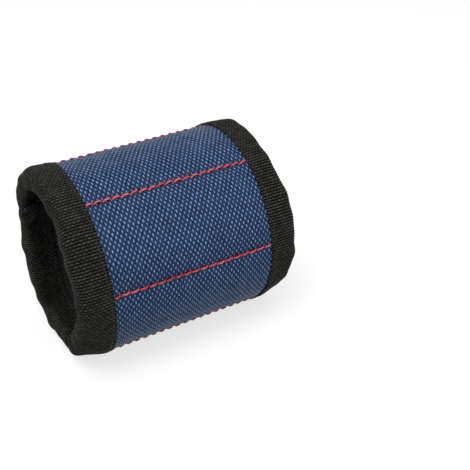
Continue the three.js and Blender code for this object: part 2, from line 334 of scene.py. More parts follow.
yarn_height = add_node(
    nylon, "Mix", {"Factor": warp_on_top.outputs["Fac"], "A": weft_height, "B": crown})
# painted highlight on the yarns along the band; the yarns across it are painted darker as shade
warp_lit_weft_shaded = add_node(
    nylon, "Mix",
    {SHARE: warp_on_top.outputs["Fac"], FROM: linear("#1a3a68"), TO: linear("#7e98ba")},
    data_type="RGBA")
# painted shade in the gaps between the yarns, falling off towards their crowns
yarns_with_gap_shade = add_node(
    nylon, "Mix",
    {SHARE: crown, FROM: linear("#0c1f42"), TO: warp_lit_weft_shaded.outputs[MIXED]},
    data_type="RGBA")
# painted shade along the seams, reddish partly from the thread's fuzz and partly as a painted reflection
# of the thread
seam_shade_mark = add_node(nylon, "Attribute", {}, attribute_name="painted_seam_shade")
seam_shaded_colour = add_node(
    nylon, "Mix",
    {SHARE: seam_shade_mark.outputs["Fac"], FROM: yarns_with_gap_shade.outputs[MIXED], TO: linear("#440b22")},
    data_type="RGBA")
shade = add_node(
    nylon, "TexNoise", {"Vector": nylon_cut.outputs["Vector"], "Scale": 1 / SHADE_PATCH})
shade_value = add_node(nylon, "MapRange", {"Value": shade, "To Min": 0.9, "To Max": 1.1})
yarn_cell = add_node(nylon, "VectorMath", {0: crossing}, operation="FLOOR")
speck = add_node(nylon, "TexWhiteNoise", {"Vector": yarn_cell})
speck_value = add_node(nylon, "MapRange", {"Value": speck, "To Min": 0.72, "To Max": 1.22})
yarn_value = add_node(nylon, "Math", {0: shade_value, 1: speck_value}, operation="MULTIPLY")
nylon_colour = add_node(
    nylon, "HueSaturation", {"Color": seam_shaded_colour.outputs[MIXED], "Value": yarn_value})
nylon_relief = add_node(nylon, "Bump", {"Height": yarn_height, "Distance": YARN_HEIGHT * MM})
feed(nylon, nylon_shader, {
    "Base Color": nylon_colour, "Normal": nylon_relief, "Roughness": 0.5, "Specular IOR Level": 0.1})

CLOTH_HALF = 44.5  # cut edge, inside the rim tape
CLOTH = 0.7  # thickness
CLOTH_STEP = (0.64, 0.7)  # of the mesh, across and along
TAPE_START = 33.0  # inner edge of the rim tape, from the middle of the band
POCKET_CROWN = 0.4
SEAM_DIP = 0.5
SEAM_REACH = 2.4
STITCH = 3.54
SEAM_SHADE = 0.8  # painted shade on the cloth along the seams, where the thread draws it in; its red tint is partly the thread's fuzz and partly a painted reflection of the thread
SEAM_SHADE_REACH = 1.1
HOLE_DIP = 0.22
HOLE_REACH = 1.1
PUCKER = 0.1
PUCKER_REACH = 4.0
MAGNET_SIZE = (20.0, 10.0)
MAGNET_ROWS = {-7.5: [-22.0, 0.0, 22.0], 7.5: [-11.0, 11.0]}  # along, from mid pocket, and across
MAGNET_SHOW = 0.22  # how far a magnet lifts the cloth
MAGNET_BLUR = 1.4
RELIEF_FADE = (TAPE_START - 4.0, TAPE_START + 1.0)
# Slack swells of the cloth: wave across, wave along, phase and height.
SLACK = [(31.0, 47.0, 0.4, 0.07), (19.0, 28.0, 2.1, 0.05), (13.0, 60.0, 4.0, 0.04)]
# Distances from the middle of the band, and heights there of the cloth and of the middle of the layers.
CLOTH_CURL = ([TAPE_START, 36.0, 42.5, CLOTH_HALF], [0.0, -0.15, -0.6, -2.2])
STACK_MIDDLE = ([TAPE_START, CLOTH_HALF], [-1.85, -4.9])
END_PINCH = 0.6
END_PINCH_REACH = 4.0
RIM_END_PINCH = 0.9  # the ends of the rim tapes are sewn shut
RIM_END_START = (TAPE_START - 5.0, TAPE_START)
RIM_DRAW = 2.6  # how far the rims are drawn in under the front
RIM_DRAW_COMES = (60.0, 84.0)  # along the band
RIM_DRAW_GOES = (110.0, 140.0)
RIM_DRAW_ACROSS = (32.0, 44.0)
# Distances along the band, and the share of its overhang that a rim loses as the tape pulls it in.
LEFT_RIM_PULL = ([150.0, 195.0], [0.0, 0.13])
RIGHT_RIM_PULL = ([115.0, 150.0, 175.0], [0.0, 0.09, 0.19])
seam_places = np.array(list(seams.values()))


def seam_gap(along):
    return np.min(np.abs(along[:, None] - seam_places), axis=1)


def near_seam(along, reach):
    """1 at a pocket seam, falling off to 0 beyond a reach from it."""
    return np.exp(-((seam_gap(along) / reach) ** 2))


def face_relief(across, along):
    """Height of the quilted face: crowned pockets, magnets that show through, and puckered seams."""
    gap = seam_gap(along)
    in_pockets = (along > seams["base"]) & (along < seams["top"])
    height = POCKET_CROWN * in_pockets * np.sin(math.pi * (along - seams["base"]) / POCKET_PITCH) ** 2
    height -= SEAM_DIP * near_seam(along, SEAM_REACH)
    hole = 0.5 - 0.5 * np.cos(2 * math.pi * across / STITCH)
    height -= HOLE_DIP * hole * near_seam(along, HOLE_REACH)
    pucker = np.cos(math.pi * across / STITCH + gap / PUCKER_REACH)
    height += PUCKER * pucker * np.exp(-gap / PUCKER_REACH)
    for middle in pocket_middles.values():
        for row, places in MAGNET_ROWS.items():
            beside = np.abs(along - middle - row) - MAGNET_SIZE[1] / 2
            over_row = 1 - ramp(beside, -MAGNET_BLUR, MAGNET_BLUR)
            for place in places:
                beyond = np.abs(across - place) - MAGNET_SIZE[0] / 2
                height += MAGNET_SHOW * over_row * (1 - ramp(beyond, -MAGNET_BLUR, MAGNET_BLUR))
    for wave_across, wave_along, phase, swell in SLACK:
        height += swell * np.sin(2 * math.pi * (across / wave_across + along / wave_along) + phase)
    return height * (1 - ramp(np.abs(across), *RELIEF_FADE))


def pinch(flat):
    """Squeezes the layers together at the band's two sewn ends, and draws its rims in."""
    beside = np.abs(flat[:, 0])
    middle = np.interp(beside, *STACK_MIDDLE)
    at_rim = ramp(beside, *RIM_END_START)
    tucked = (1 - ramp(flat[:, 1], 0, END_PINCH_REACH)) * between(END_PINCH, RIM_END_PINCH, at_rim)
    strapped = ramp(flat[:, 1], BAND_END - END_PINCH_REACH, BAND_END) * RIM_END_PINCH * at_rim
    keep = 1 - np.maximum(tucked, strapped)
    flat[:, 2] = middle + (flat[:, 2] - middle) * keep
    under_front = ramp(flat[:, 1], *RIM_DRAW_COMES) * (1 - ramp(flat[:, 1], *RIM_DRAW_GOES))
    flat[:, 2] -= RIM_DRAW * under_front * ramp(beside, *RIM_DRAW_ACROSS)
    left_pull = np.interp(flat[:, 1], *LEFT_RIM_PULL)
    right_pull = np.interp(flat[:, 1], *RIGHT_RIM_PULL)
    pull = np.where(flat[:, 0] < 0, left_pull, right_pull)
    flat[:, 0] -= np.sign(flat[:, 0]) * pull * np.maximum(beside - TAPE_START, 0)


def nodes_of(bodies, kind):
    return [f"{body}_{kind}" for body in bodies]


for length, (start, end, seam, bodies) in lengths.items():
    cloth = flat_cut(
        f"outer_cloth_{length}", (-CLOTH_HALF, start), (CLOTH_HALF, end), CLOTH_STEP, CLOTH)
    flat = flat_points(cloth)
    keep_flat(cloth, flat)
    # painted shade along the seams
    mark(cloth, "painted_seam_shade", SEAM_SHADE * near_seam(flat[:, 1], SEAM_SHADE_REACH))
    flat[:, 2] += face_relief(flat[:, 0], flat[:, 1]) + np.interp(np.abs(flat[:, 0]), *CLOTH_CURL)
    pinch(flat)
    wrap(cloth, flat, nylon)
    attach(cloth, seam, bodies)
    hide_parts(*nodes_of(bodies, "outer_cloth"))

# Magnets: five flat sintered plates in each pocket, nickel plated, which lie between the cloths.
# They keep their solids, because a plate with a small bevel is what they are.
PLATING_GRAIN = 0.3
# Nickel plating: a pale, warm metal that is not evenly dull, so its highlights are a little ragged.
nickel, nickel_shader = new_material("nickel_plating")
plate_place = add_node(nickel, "TexCoord", {})
plating = add_node(
    nickel, "TexNoise", {"Vector": plate_place.outputs["Object"], "Scale": 1 / (PLATING_GRAIN * MM)})
dullness = add_node(nickel, "MapRange", {"Value": plating, "To Min": 0.22, "To Max": 0.38})
feed(nickel, nickel_shader, {
    "Base Color": linear("#b9b7b0"), "Metallic": 1.0, "Roughness": dullness})
for name, node in frame["nodes"].items():
    if "_magnet_" in name:
        node.data.materials.clear()
        node.data.materials.append(nickel)

# Backing and padding: strips of grey needled felt. One lies behind the magnets of each pocket and
# two fill the ends of the band. They are cut a little short of the seams and thin out there.
FELT_FIBRE = 0.9
FELT_RELIEF = 0.2
# Needled felt: tangled fibres of several greys, matt and a little hairy.
felt, felt_shader = new_material("needled_felt")
felt_cut = add_node(felt, "Attribute", {}, attribute_name="flat")
fibres = add_node(
    felt, "TexNoise",
    {"Vector": felt_cut.outputs["Vector"], "Scale": 1 / FELT_FIBRE, "Detail": 6.0, "Distortion": 1.5})
felt_colour = add_node(
    felt, "Mix", {SHARE: fibres, FROM: linear("#2b2b2d"), TO: linear("#66666a")}, data_type="RGBA")
felt_relief = add_node(felt, "Bump", {"Height": fibres, "Distance": FELT_RELIEF * MM})
feed(felt, felt_shader, {
    "Base Color": felt_colour.outputs[MIXED], "Normal": felt_relief,
    "Roughness": 0.95, "Specular IOR Level": 0.1, "Sheen Weight": 0.1,
})

POCKET_THICKNESS = 6.14  # outer face to lining face
END_THICKNESS = 3.7
THIN_BEYOND = 6.0  # the band thins to its ends from inside its outermost seams to beyond them
THIN_WITHIN = 2.0
QUILT_DRAW = 1.3  # how far a seam draws the lining in
QUILT_REACH = 2.5
QUILT_FULL = 5.0  # thickness from which a seam draws in that far
LINING = 0.8
PAD = 1.15
PAD_HALF = 32.0
PAD_STEP = (1.6, 1.2)
PAD_ROUND = 0.4
PAD_CLEARANCE = 0.15
PAD_SHORT = 1.5  # from the seam to the pad
STRAP_ROOT = 15.0  # strap length inside the band
EDGE_ANGLE = 1.0  # radians; sharper edges than this are cut edges


def band_thickness(along):
    """Outer face to lining face, at distances along the band."""
    thickens = ramp(along, seams["base"] - THIN_BEYOND, seams["base"] + THIN_WITHIN)
    thins = ramp(along, seams["top"] - THIN_WITHIN, seams["top"] + THIN_BEYOND)
    full = between(END_THICKNESS, POCKET_THICKNESS, thickens * (1 - thins))
    draw = QUILT_DRAW * near_seam(along, QUILT_REACH)
    return full - draw * ramp(full, END_THICKNESS, QUILT_FULL)


def round_edges(piece, width, segments):
    """Rounds the cut edges of a flat piece."""
    finish_with(
        piece, "BEVEL", width=width * MM, segments=segments, limit_method="ANGLE", angle_limit=EDGE_ANGLE)


half_pocket = POCKET_PITCH / 2 - PAD_SHORT
pads = {
    "loop_end_padding": (PAD_SHORT, seams["base"] - PAD_SHORT, "loop_end"),
    "strap_end_padding": (seams["top"] + PAD_SHORT, BAND_END - STRAP_ROOT - PAD_SHORT, "strap_end"),
}
for pocket, middle in pocket_middles.items():
    pads[f"{pocket}_backing"] = (middle - half_pocket, middle + half_pocket, pocket)
for name, (start, end, body) in pads.items():
    pad = flat_cut(f"felt_{name}", (-PAD_HALF, start), (PAD_HALF, end), PAD_STEP, PAD)
    round_edges(pad, PAD_ROUND, segments=2)
    flat = flat_points(pad)
    keep_flat(pad, flat)
    lining_back = band_thickness(flat[:, 1]) - LINING
    flat[:, 2] += PAD + PAD_CLEARANCE - lining_back
    pinch(flat)
    wrap(pad, flat, felt)
    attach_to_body(pad, body)
    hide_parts(name)

# Lining: black polyester spacer mesh on the inner face, a springy knit with rows of small open pits.
# It goes under the rim tapes with the outer cloth, and the seams draw it in between the pockets.
KNIT_PITCH = 0.55
KNIT_RELIEF = 0.15
# Spacer mesh: small dull knots with a painted highlight on them and painted shade in the gaps between
# them, and pits painted darker still as shade.
lining_mesh, lining_shader = new_material("polyester_spacer_mesh")
lining_cut = add_node(lining_mesh, "Attribute", {}, attribute_name="flat")
pit_shade_mark = add_node(lining_mesh, "Attribute", {}, attribute_name="pit_shade")
knit = add_node(
    lining_mesh, "TexVoronoi", {"Vector": lining_cut.outputs["Vector"], "Scale": 1 / KNIT_PITCH})
# painted highlight on the knots and painted shade in the gaps between them
knit_colour = add_node(
    lining_mesh, "Mix", {SHARE: knit, FROM: linear("#3a3a3d"), TO: linear("#1c1c1e")},
    data_type="RGBA")
# painted shade in the pits
lining_colour = add_node(
    lining_mesh, "Mix",
    {SHARE: pit_shade_mark.outputs["Fac"], FROM: knit_colour.outputs[MIXED], TO: linear("#060607")},
    data_type="RGBA")
lining_relief = add_node(
    lining_mesh, "Bump", {"Height": knit, "Distance": KNIT_RELIEF * MM}, invert=True)
feed(lining_mesh, lining_shader, {
    "Base Color": lining_colour.outputs[MIXED], "Normal": lining_relief,
    "Roughness": 0.85, "Specular IOR Level": 0.15, "Sheen Weight": 0.05, "Sheen Roughness": 0.5,
})

# Polyester sewing thread: three smooth plies twisted together, black here and red on the pocket seams.
# The plies catch the light and the grooves between them stay dark, and this is painted: a painted
# highlight on the plies, and painted shade in the grooves and on the sides of the thread.
threads = {}
# each thread's colour runs from a painted highlight on its plies to painted shade in its grooves
for colour, ply_highlight, groove_shade in (("black", "#343436", "#080808"), ("red", "#f098a8", "#7a0f2e")):
    threads[colour], thread_shader = new_material(f"{colour}_polyester_thread")
    thread_shade_mark = add_node(threads[colour], "Attribute", {}, attribute_name="ply_groove_and_shade")
    thread_colour = add_node(
        threads[colour], "Mix",
        {SHARE: thread_shade_mark.outputs["Fac"], FROM: linear(ply_highlight), TO: linear(groove_shade)},
        data_type="RGBA")
    feed(threads[colour], thread_shader, {
        "Base Color": thread_colour.outputs[MIXED], "Roughness": 0.5, "Specular IOR Level": 0.3})

LINING_HALF = 44.3
PIT_SPACING = (3.2, 2.8)
PIT_DEPTH = 0.4
PIT_STEEPNESS = 4.0
PIT_EDGE = 0.3  # height of the wave at which a pit starts
PIT_FADE = (TAPE_START - 1.0, TAPE_START)
LINING_STEP = (PIT_SPACING[0] / 4, PIT_SPACING[1] / 4)
# Distances from the middle of the band, and how far the lining curls in there.
LINING_REACHES = [TAPE_START, 36.0, 39.0, 42.0, LINING_HALF]
LINING_CURL_POCKET = [0.0, 0.0, -0.15, -0.5, -0.35]
LINING_CURL_END = [0.0, -0.05, -0.5, -1.8, -2.7]
SEAM_STITCHES = 19  # the last ones run in under the tapes
SEAM_HALF = SEAM_STITCHES / 2 * STITCH
FINE_THREAD = 0.25  # radius
PLIES = 3
PLY_DEPTH = 0.35
PLY_TURN = 4.2  # thread length in which the plies go round once
STITCH_TAPER = 0.3
STITCH_SLANT = 0.55  # this and the next three are in thread radii
STITCH_RISE = 0.75
STITCH_ARCH = 1.7
STITCH_STRAY = 0.2
STITCH_SHADE = 0.4  # painted shade, a random amount added to each stitch, as if some lay deeper than others
chance = np.random.default_rng(7)


def end_share(along):
    """0 where the band is as thick as a pocket, 1 where it is as thin as its ends."""
    return (POCKET_THICKNESS - band_thickness(along)) / (POCKET_THICKNESS - END_THICKNESS)


def repeat(piece, count, step):
    """Makes a row of copies of a piece, a step apart."""
    finish_with(
        piece, "ARRAY", count=count, use_relative_offset=False, use_constant_offset=True,
        constant_offset_displace=np.multiply(step, MM))


def one_stitch(name, pitch, radius, sides, rings):
    """A lockstitch shaped from a cylinder: plied thread that dives into the cloth at both ends."""
    bpy.ops.mesh.primitive_cylinder_add(
        vertices=sides, radius=radius * MM, depth=pitch * MM, rotation=(0, math.pi / 2, 0))
    stitch = newest(name)
    bpy.ops.object.transform_apply(location=False, rotation=True, scale=False)
    mesh = stitch.data
    ends = np.array([[mesh.vertices[index].co.x for index in edge.vertices] for edge in mesh.edges])
    bpy.context.tool_settings.mesh_select_mode = (False, True, False)
    mesh.vertices.foreach_set("select", np.zeros(len(mesh.vertices), bool))
    mesh.polygons.foreach_set("select", np.zeros(len(mesh.polygons), bool))
    mesh.edges.foreach_set("select", np.abs(ends[:, 0] - ends[:, 1]) > pitch * MM / 2)
    bpy.ops.object.mode_set(mode="EDIT")
    bpy.ops.mesh.subdivide(number_cuts=rings)
    bpy.ops.object.mode_set(mode="OBJECT")
    points = flat_points(stitch)
    share = points[:, 0] / (pitch / 2)
    round_it = np.arctan2(points[:, 2], points[:, 1])
    ply_groove_and_shade = 0.5 - 0.5 * np.cos(PLIES * (round_it - points[:, 0] * 2 * math.pi / PLY_TURN))
    # painted shade in the ply grooves and on the sides and underside of the thread
    mark(stitch, "ply_groove_and_shade", np.maximum(ply_groove_and_shade, 1 - np.clip(np.sin(round_it), 0, 1)))
    width = radius * (1 - PLY_DEPTH * ply_groove_and_shade) * (1 - STITCH_TAPER * share**4)
    points[:, 1] = width * np.cos(round_it) + STITCH_SLANT * radius * share
    points[:, 2] = width * np.sin(round_it) + radius * (STITCH_RISE - STITCH_ARCH * share**2)
    points[:, 0] += pitch / 2
    move_vertices(stitch, points * MM)
    return stitch


def sew(name, start, end, pitch, radius, sides, rings):
    """A straight row of lockstitches on flat cloth, each a little astray and with its own painted shade.
    """
    run = np.subtract(end, start)
    count = max(1, round(math.hypot(*run) / pitch))
    pitch = math.hypot(*run) / count
    row = one_stitch(name, pitch, radius, sides, rings)
    repeat(row, count, (pitch, 0, 0))
    points = flat_points(row)
    number = np.clip(points[:, 0] // pitch, 0, count - 1).astype(int)
    within = points[:, 0] / pitch - number - 0.5
    marks = row.data.attributes["ply_groove_and_shade"].data
    in_shade = np.empty(len(points), np.float32)
    marks.foreach_get("value", in_shade)
    # painted shade, a random amount for each stitch
    in_shade += chance.uniform(0, STITCH_SHADE, count)[number]
    marks.foreach_set("value", np.clip(in_shade, 0, 1))
    stray = chance.normal(0, STITCH_STRAY, count)[number]
    skew = chance.normal(0, STITCH_STRAY, count)[number]
    points[:, 1] += radius * (stray + skew * within)
    ahead = run / math.hypot(*run)
    beside = np.array([-ahead[1], ahead[0]])
    points[:, :2] = start + np.outer(points[:, 0], ahead) + np.outer(points[:, 1], beside)
    move_vertices(row, points * MM)
    return row


def sew_seam(name, seam, radius, sides, rings):
    """The row of stitches of one pocket seam, on flat cloth."""
    place = seams[seam]
    return sew(name, (-SEAM_HALF, place), (SEAM_HALF, place), STITCH, radius, sides, rings)


def join(piece, others):
    """Makes several objects one piece."""
    pick(piece)
    for part in others:
        part.select_set(True)
    bpy.ops.object.join()


for length, (start, end, seam, bodies) in lengths.items():
    lining = flat_cut(
        f"lining_{length}", (-LINING_HALF, start), (LINING_HALF, end), LINING_STEP, LINING)
    flat = flat_points(lining)
    keep_flat(lining, flat)
    column, rank = (flat[:, :2] / PIT_SPACING).T
    pit_wave = np.cos(2 * math.pi * column) * np.cos(2 * math.pi * rank)
    beside = np.abs(flat[:, 0])
    inner_face = flat[:, 2] < -LINING / 2
    pits = np.clip(PIT_STEEPNESS * (pit_wave - PIT_EDGE), 0, 1) * (1 - ramp(beside, *PIT_FADE))
    # painted shade in the pits, on the inner face
    mark(lining, "pit_shade", pits * inner_face)
    curl = between(
        np.interp(beside, LINING_REACHES, LINING_CURL_POCKET),
        np.interp(beside, LINING_REACHES, LINING_CURL_END), end_share(flat[:, 1]))
    flat[:, 2] += LINING - band_thickness(flat[:, 1]) + curl + PIT_DEPTH * pits * inner_face
    pinch(flat)
    wrap(lining, flat, lining_mesh)
    if seam is not None:
        row = sew_seam("lining_stitches", seam, FINE_THREAD, sides=8, rings=5)
        flat = flat_points(row) * [1, 1, -1]
        flat[:, 2] -= band_thickness(flat[:, 1])
        wrap(row, flat, threads["black"])
        row.data.flip_normals()
        join(lining, [row])
    attach(lining, seam, bodies)
    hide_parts(*nodes_of(bodies, "lining"))

# Seam stitching: four rows of red lockstitches that go through all the layers and part the pockets.
# Each row runs from rim tape to rim tape in a shallow groove that the thread pulls into the cloth.
THREAD = 0.55  # radius
for _, _, seam, bodies in lengths.values():
    if seam is None:
        continue
    row = sew_seam(f"{seam}_seam_stitches", seam, THREAD, sides=12, rings=9)
    flat = flat_points(row)
    flat[:, 2] -= SEAM_DIP * near_seam(flat[:, 1], SEAM_REACH)
    wrap(row, flat, threads["red"])
    attach(row, seam, bodies)
    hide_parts(f"{seam}_seam_stitching")

# Rim tapes: black ribbed polypropylene tape, folded over each rim of the sewn stack and stitched down.
# The stack is squeezed inside it, so the rim is a soft round roll that curls inwards.
# The closure strap is webbing of the same weave, with its ribs along the strap.
RIB_PITCH = 1.15
TUFT = 1.8
WEB_RIB_PITCH = 1.6
WEB_TUFT = 1.3
TUFT_SHIFT = 0.5  # of a tuft, from one rib to the next
TUFT_SWELL = 0.6  # of the height of a rib
RIB_NARROWNESS = 1.5  # how sharply the painted shade darkens a ridge towards its furrows
RIB_RELIEF = 0.3
# Ribbed weave: soft black ridges broken into tufts, each a little paler or darker, with deep furrows. The
# ridges carry a painted highlight and the furrows painted shade.
weaves = {}
for kind, rib_pitch, tuft, ridge_highlight in (
        ("ribbed_polypropylene_tape", RIB_PITCH, TUFT, "#434440"),
        ("ribbed_nylon_webbing", WEB_RIB_PITCH, WEB_TUFT, "#404041")):
    weave, weave_shader = new_material(kind)
    weaves[kind] = weave
    weave_cut = add_node(weave, "Attribute", {}, attribute_name="flat")
    rib_place = add_node(
        weave, "VectorMath",
        {0: weave_cut.outputs["Vector"], 1: (1 / tuft, 1 / rib_pitch, 0)}, operation="MULTIPLY")
    rib_parts = add_node(weave, "SeparateXYZ", {"Vector": rib_place})
    rib_number = add_node(weave, "Math", {0: rib_parts.outputs["Y"]}, operation="FLOOR")
    tuft_place = add_node(
        weave, "Math", {0: rib_number, 1: TUFT_SHIFT, 2: rib_parts.outputs["X"]},
        operation="MULTIPLY_ADD")
    tuft_swell = add_node(
        weave, "Math", {0: yarn_swell(weave, tuft_place), 1: TUFT_SWELL, 2: 1 - TUFT_SWELL},
        operation="MULTIPLY_ADD")
    rib_swell = yarn_swell(weave, rib_parts.outputs["Y"])
    rib = add_node(weave, "Math", {0: rib_swell, 1: tuft_swell}, operation="MULTIPLY")
    tuft_number = add_node(weave, "Math", {0: tuft_place}, operation="FLOOR")
    tuft_cell = add_node(weave, "CombineXYZ", {"X": tuft_number, "Y": rib_number})
    tuft_chance = add_node(weave, "TexWhiteNoise", {"Vector": tuft_cell})
    tuft_value = add_node(weave, "MapRange", {"Value": tuft_chance, "To Min": 0.55, "To Max": 1.25})
    # painted highlight on the ridges and painted shade in the furrows, from the height of the ribs
    rib_light = add_node(weave, "Math", {0: rib, 1: RIB_NARROWNESS}, operation="POWER")
    rib_colour = add_node(
        weave, "Mix", {SHARE: rib_light, FROM: linear("#010101"), TO: linear(ridge_highlight)}, data_type="RGBA")
    weave_colour = add_node(
        weave, "HueSaturation", {"Color": rib_colour.outputs[MIXED], "Value": tuft_value})
    weave_relief = add_node(weave, "Bump", {"Height": rib, "Distance": RIB_RELIEF * MM})
    feed(weave, weave_shader, {
        "Base Color": weave_colour, "Normal": weave_relief, "Roughness": 0.65, "Specular IOR Level": 0.05})

TAPE = 0.7
TAPE_WIDTH = 34.0
TAPE_STEP = (0.6, RIB_PITCH / 4)
RIB_HEIGHT = 0.13
SELVEDGE = 0.5
TAPE_STITCH = 2.8
TAPE_STITCH_INSET = 1.8
TAPE_STITCH_DIP = 0.12
TAPE_SEAM_DIP = 0.3
TAPE_SEAM_FADE = (6.0, 15.0)  # how far from its edge the tape still dips at a seam
RIM_WAVES = [(8.7, 0.12), (14.3, 0.2), (23.0, 0.2), (41.0, 0.3)]  # length and height of a rim's swells
CORNER_CUTS = 3
CORNER_CUT = 0.25  # of each side, off both of its ends
TAPE_FACE = 0.78  # where the tape's edge lies on the outer face
END_TAPE_FACE = -4.45  # and on the lining, where the band is thin
# Across and out, from the tape's edge on the outer face over the rim to its edge on the lining.
TAPE_OUTSIDE = [
    (TAPE_START, TAPE_FACE), (36.5, 0.95), (40.5, 1.05), (43.6, 0.9), (45.3, -0.2), (45.9, -2.4),
    (45.9, -5.2)]
TAPE_ON_POCKET = [
    *TAPE_OUTSIDE, (45.4, -7.2), (44.0, -8.4), (41.5, -8.1), (38.5, -7.1), (36.0, -6.9),
    (TAPE_START, -6.9)]
TAPE_ON_END = [
    *TAPE_OUTSIDE, (45.4, -7.0), (44.0, -8.0), (41.5, -6.9), (38.5, -5.2), (36.0, -4.5),
    (TAPE_START, END_TAPE_FACE)]


def rounded_path(corners):
    """A smooth path along a row of corners, with the distance run at each of its points."""
    path = np.array(corners, float)
    for _ in range(CORNER_CUTS):
        cuts = [between(path[:-1], path[1:], share) for share in (CORNER_CUT, 1 - CORNER_CUT)]
        path = np.vstack([path[:1], np.stack(cuts, axis=1).reshape(-1, 2), path[-1:]])
    run = np.concatenate([[0], np.cumsum(np.hypot(*np.diff(path, axis=0).T))])
    return path, run


def fold(corners, along_tape, height):
    """Lays flat tape of TAPE_WIDTH along a path of corners, with its face on the left of the path."""
    path, run = rounded_path(corners)
    ahead = np.gradient(path, run, axis=0)
    place = along_tape / TAPE_WIDTH * run[-1]
    step = np.column_stack([np.interp(place, run, ahead[:, side]) for side in (0, 1)])
    step /= np.hypot(*step.T)[:, None]
    spot = np.column_stack([np.interp(place, run, path[:, side]) for side in (0, 1)])
    return spot + np.column_stack([-step[:, 1], step[:, 0]]) * height[:, None]


def over_rim(flat, side):
    """Folds flat tape over the left or right rim of the band."""
    on_tape = np.abs(flat[:, 0])
    thin = end_share(flat[:, 1])[:, None]
    swell = sum(rise * np.sin(2 * math.pi * flat[:, 1] / wave + side * wave) for wave, rise in RIM_WAVES)
    height = flat[:, 2] + swell * np.sin(math.pi * on_tape / TAPE_WIDTH) ** 2
    section = between(fold(TAPE_ON_POCKET, on_tape, height), fold(TAPE_ON_END, on_tape, height), thin)
    on_face = 1 - ramp(on_tape, *TAPE_SEAM_FADE)
    section[:, 1] -= TAPE_SEAM_DIP * on_face * near_seam(flat[:, 1], SEAM_REACH)
    flat[:, 0] = section[:, 0] * side
    flat[:, 2] = section[:, 1]
    pinch(flat)
    return flat


def raise_ribs(flat, along_tape, from_edge):
    """Gives flat tape its ribs on the outer face, and thins its two woven edges."""
    outside = flat[:, 2] > -TAPE / 2
    ribs = -RIB_HEIGHT * np.cos(2 * math.pi * along_tape / RIB_PITCH)
    flat[:, 2] += outside * (ribs - 0.5 * TAPE * (1 - ramp(from_edge, -SELVEDGE / 2, SELVEDGE)))


def fine_rows(ends):
    """Rows of fine stitches on flat cloth, each given by its two ends."""
    return [sew("stitches", *pair, TAPE_STITCH, FINE_THREAD, sides=6, rings=3) for pair in ends]


for side, side_name in ((-1, "left"), (1, "right")):
    stitch_places = [side * TAPE_STITCH_INSET, side * (TAPE_WIDTH - TAPE_STITCH_INSET)]
    near_edge, far_edge = sorted([0, side * TAPE_WIDTH])
    for length, (start, end, seam, bodies) in lengths.items():
        tape = flat_cut(
            f"{side_name}_binding_{length}", (near_edge, start), (far_edge, end), TAPE_STEP, TAPE)
        flat = flat_points(tape)
        keep_flat(tape, flat)
        on_tape = np.abs(flat[:, 0])
        from_edge = np.minimum(on_tape, TAPE_WIDTH - on_tape)
        raise_ribs(flat, flat[:, 1], from_edge)
        flat[:, 2] -= TAPE_STITCH_DIP * np.exp(-((from_edge - TAPE_STITCH_INSET) ** 2))
        wrap(tape, over_rim(flat, side), weaves["ribbed_polypropylene_tape"])
        tape_rows = fine_rows(((place, start), (place, end)) for place in stitch_places)
        for row in tape_rows:
            flat = flat_points(row) - [0, 0, TAPE_STITCH_DIP]
            wrap(row, over_rim(flat, side), threads["black"])
        join(tape, tape_rows)
        attach(tape, seam, bodies)
        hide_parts(*nodes_of(bodies, f"{side_name}_binding"))

# Loop patch: the soft half of the closure, a woven strip with a pile of fine nylon loops.
# It is sewn flat on the outer face of the tucked-in end, and the closed band stands on it.
LOOP_FUZZ = 0.4
FUZZ_RELIEF = 0.2
# Brushed loop pile: soft and matt, with painted shade mottled over it where its loops shade each other.
loop_weave, loop_shader = new_material("brushed_nylon_loop_pile")
loop_place = add_node(loop_weave, "TexCoord", {})
fuzz = add_node(
    loop_weave, "TexNoise",
    {"Vector": loop_place.outputs["Object"], "Scale": 1 / (LOOP_FUZZ * MM), "Detail": 4.0})
# painted shade, mottled as if the loops shaded each other
pile_colour_and_shade = add_node(
    loop_weave, "Mix", {SHARE: fuzz, FROM: linear("#0c0c0d"), TO: linear("#2f2f31")}, data_type="RGBA")
fuzz_relief = add_node(loop_weave, "Bump", {"Height": fuzz, "Distance": FUZZ_RELIEF * MM})
feed(loop_weave, loop_shader, {
    "Base Color": pile_colour_and_shade.outputs[MIXED], "Normal": fuzz_relief,
    "Roughness": 0.9, "Specular IOR Level": 0.1, "Sheen Weight": 0.1, "Sheen Roughness": 0.5,
})

LOOP_HALF = 28.0
LOOP_SPAN = (13.0, 84.0)
LOOP_CORNER = 6.0
LOOP_BASE = 0.6
LOOP_BASE_STEP = (1.0, 0.8)
LOOP_BASE_ROUND = 0.2
LOOP_BASE_TOP = 0.75
LOOP_TOP = 1.6
LOOP_PITCH = 1.9  # coarser than real pile, so that single loops show
LOOP_MARGIN = 1.6
LOOP_SIZE = 0.55  # radius, as a share of the height of the pile
LOOP_YARN = 0.09
LOOP_LEAN = 0.5
LOOP_SHRINK = 0.8  # of its height, for the lowest loop
LOOP_SHIFT = 0.3  # of the pitch
PATCH_STITCH_INSET = 1.4
PATCH_SIDE_END = 78.4  # where the rows along the sides stop, below the round corners
PATCH_TIP_HALF = 20.5


def round_tip(flat, end, corner, half):
    """Draws a strip in towards its end, so that its two corners there are round."""
    past = np.clip(flat[:, 1] - (end - corner), 0, corner)
    flat[:, 0] *= (half - corner + np.sqrt(corner**2 - past**2)) / half


def cover(piece, pitch, margin, half, span):
    """Repeats a small piece all over a strip, and gives the flat points of its copies."""
    for room, step in ((2 * half, (pitch, 0, 0)), (span[1] - span[0], (0, pitch, 0))):
        repeat(piece, int((room - 2 * margin) // pitch) + 1, step)
    return flat_points(piece) + [margin - half, span[0] + margin, 0]


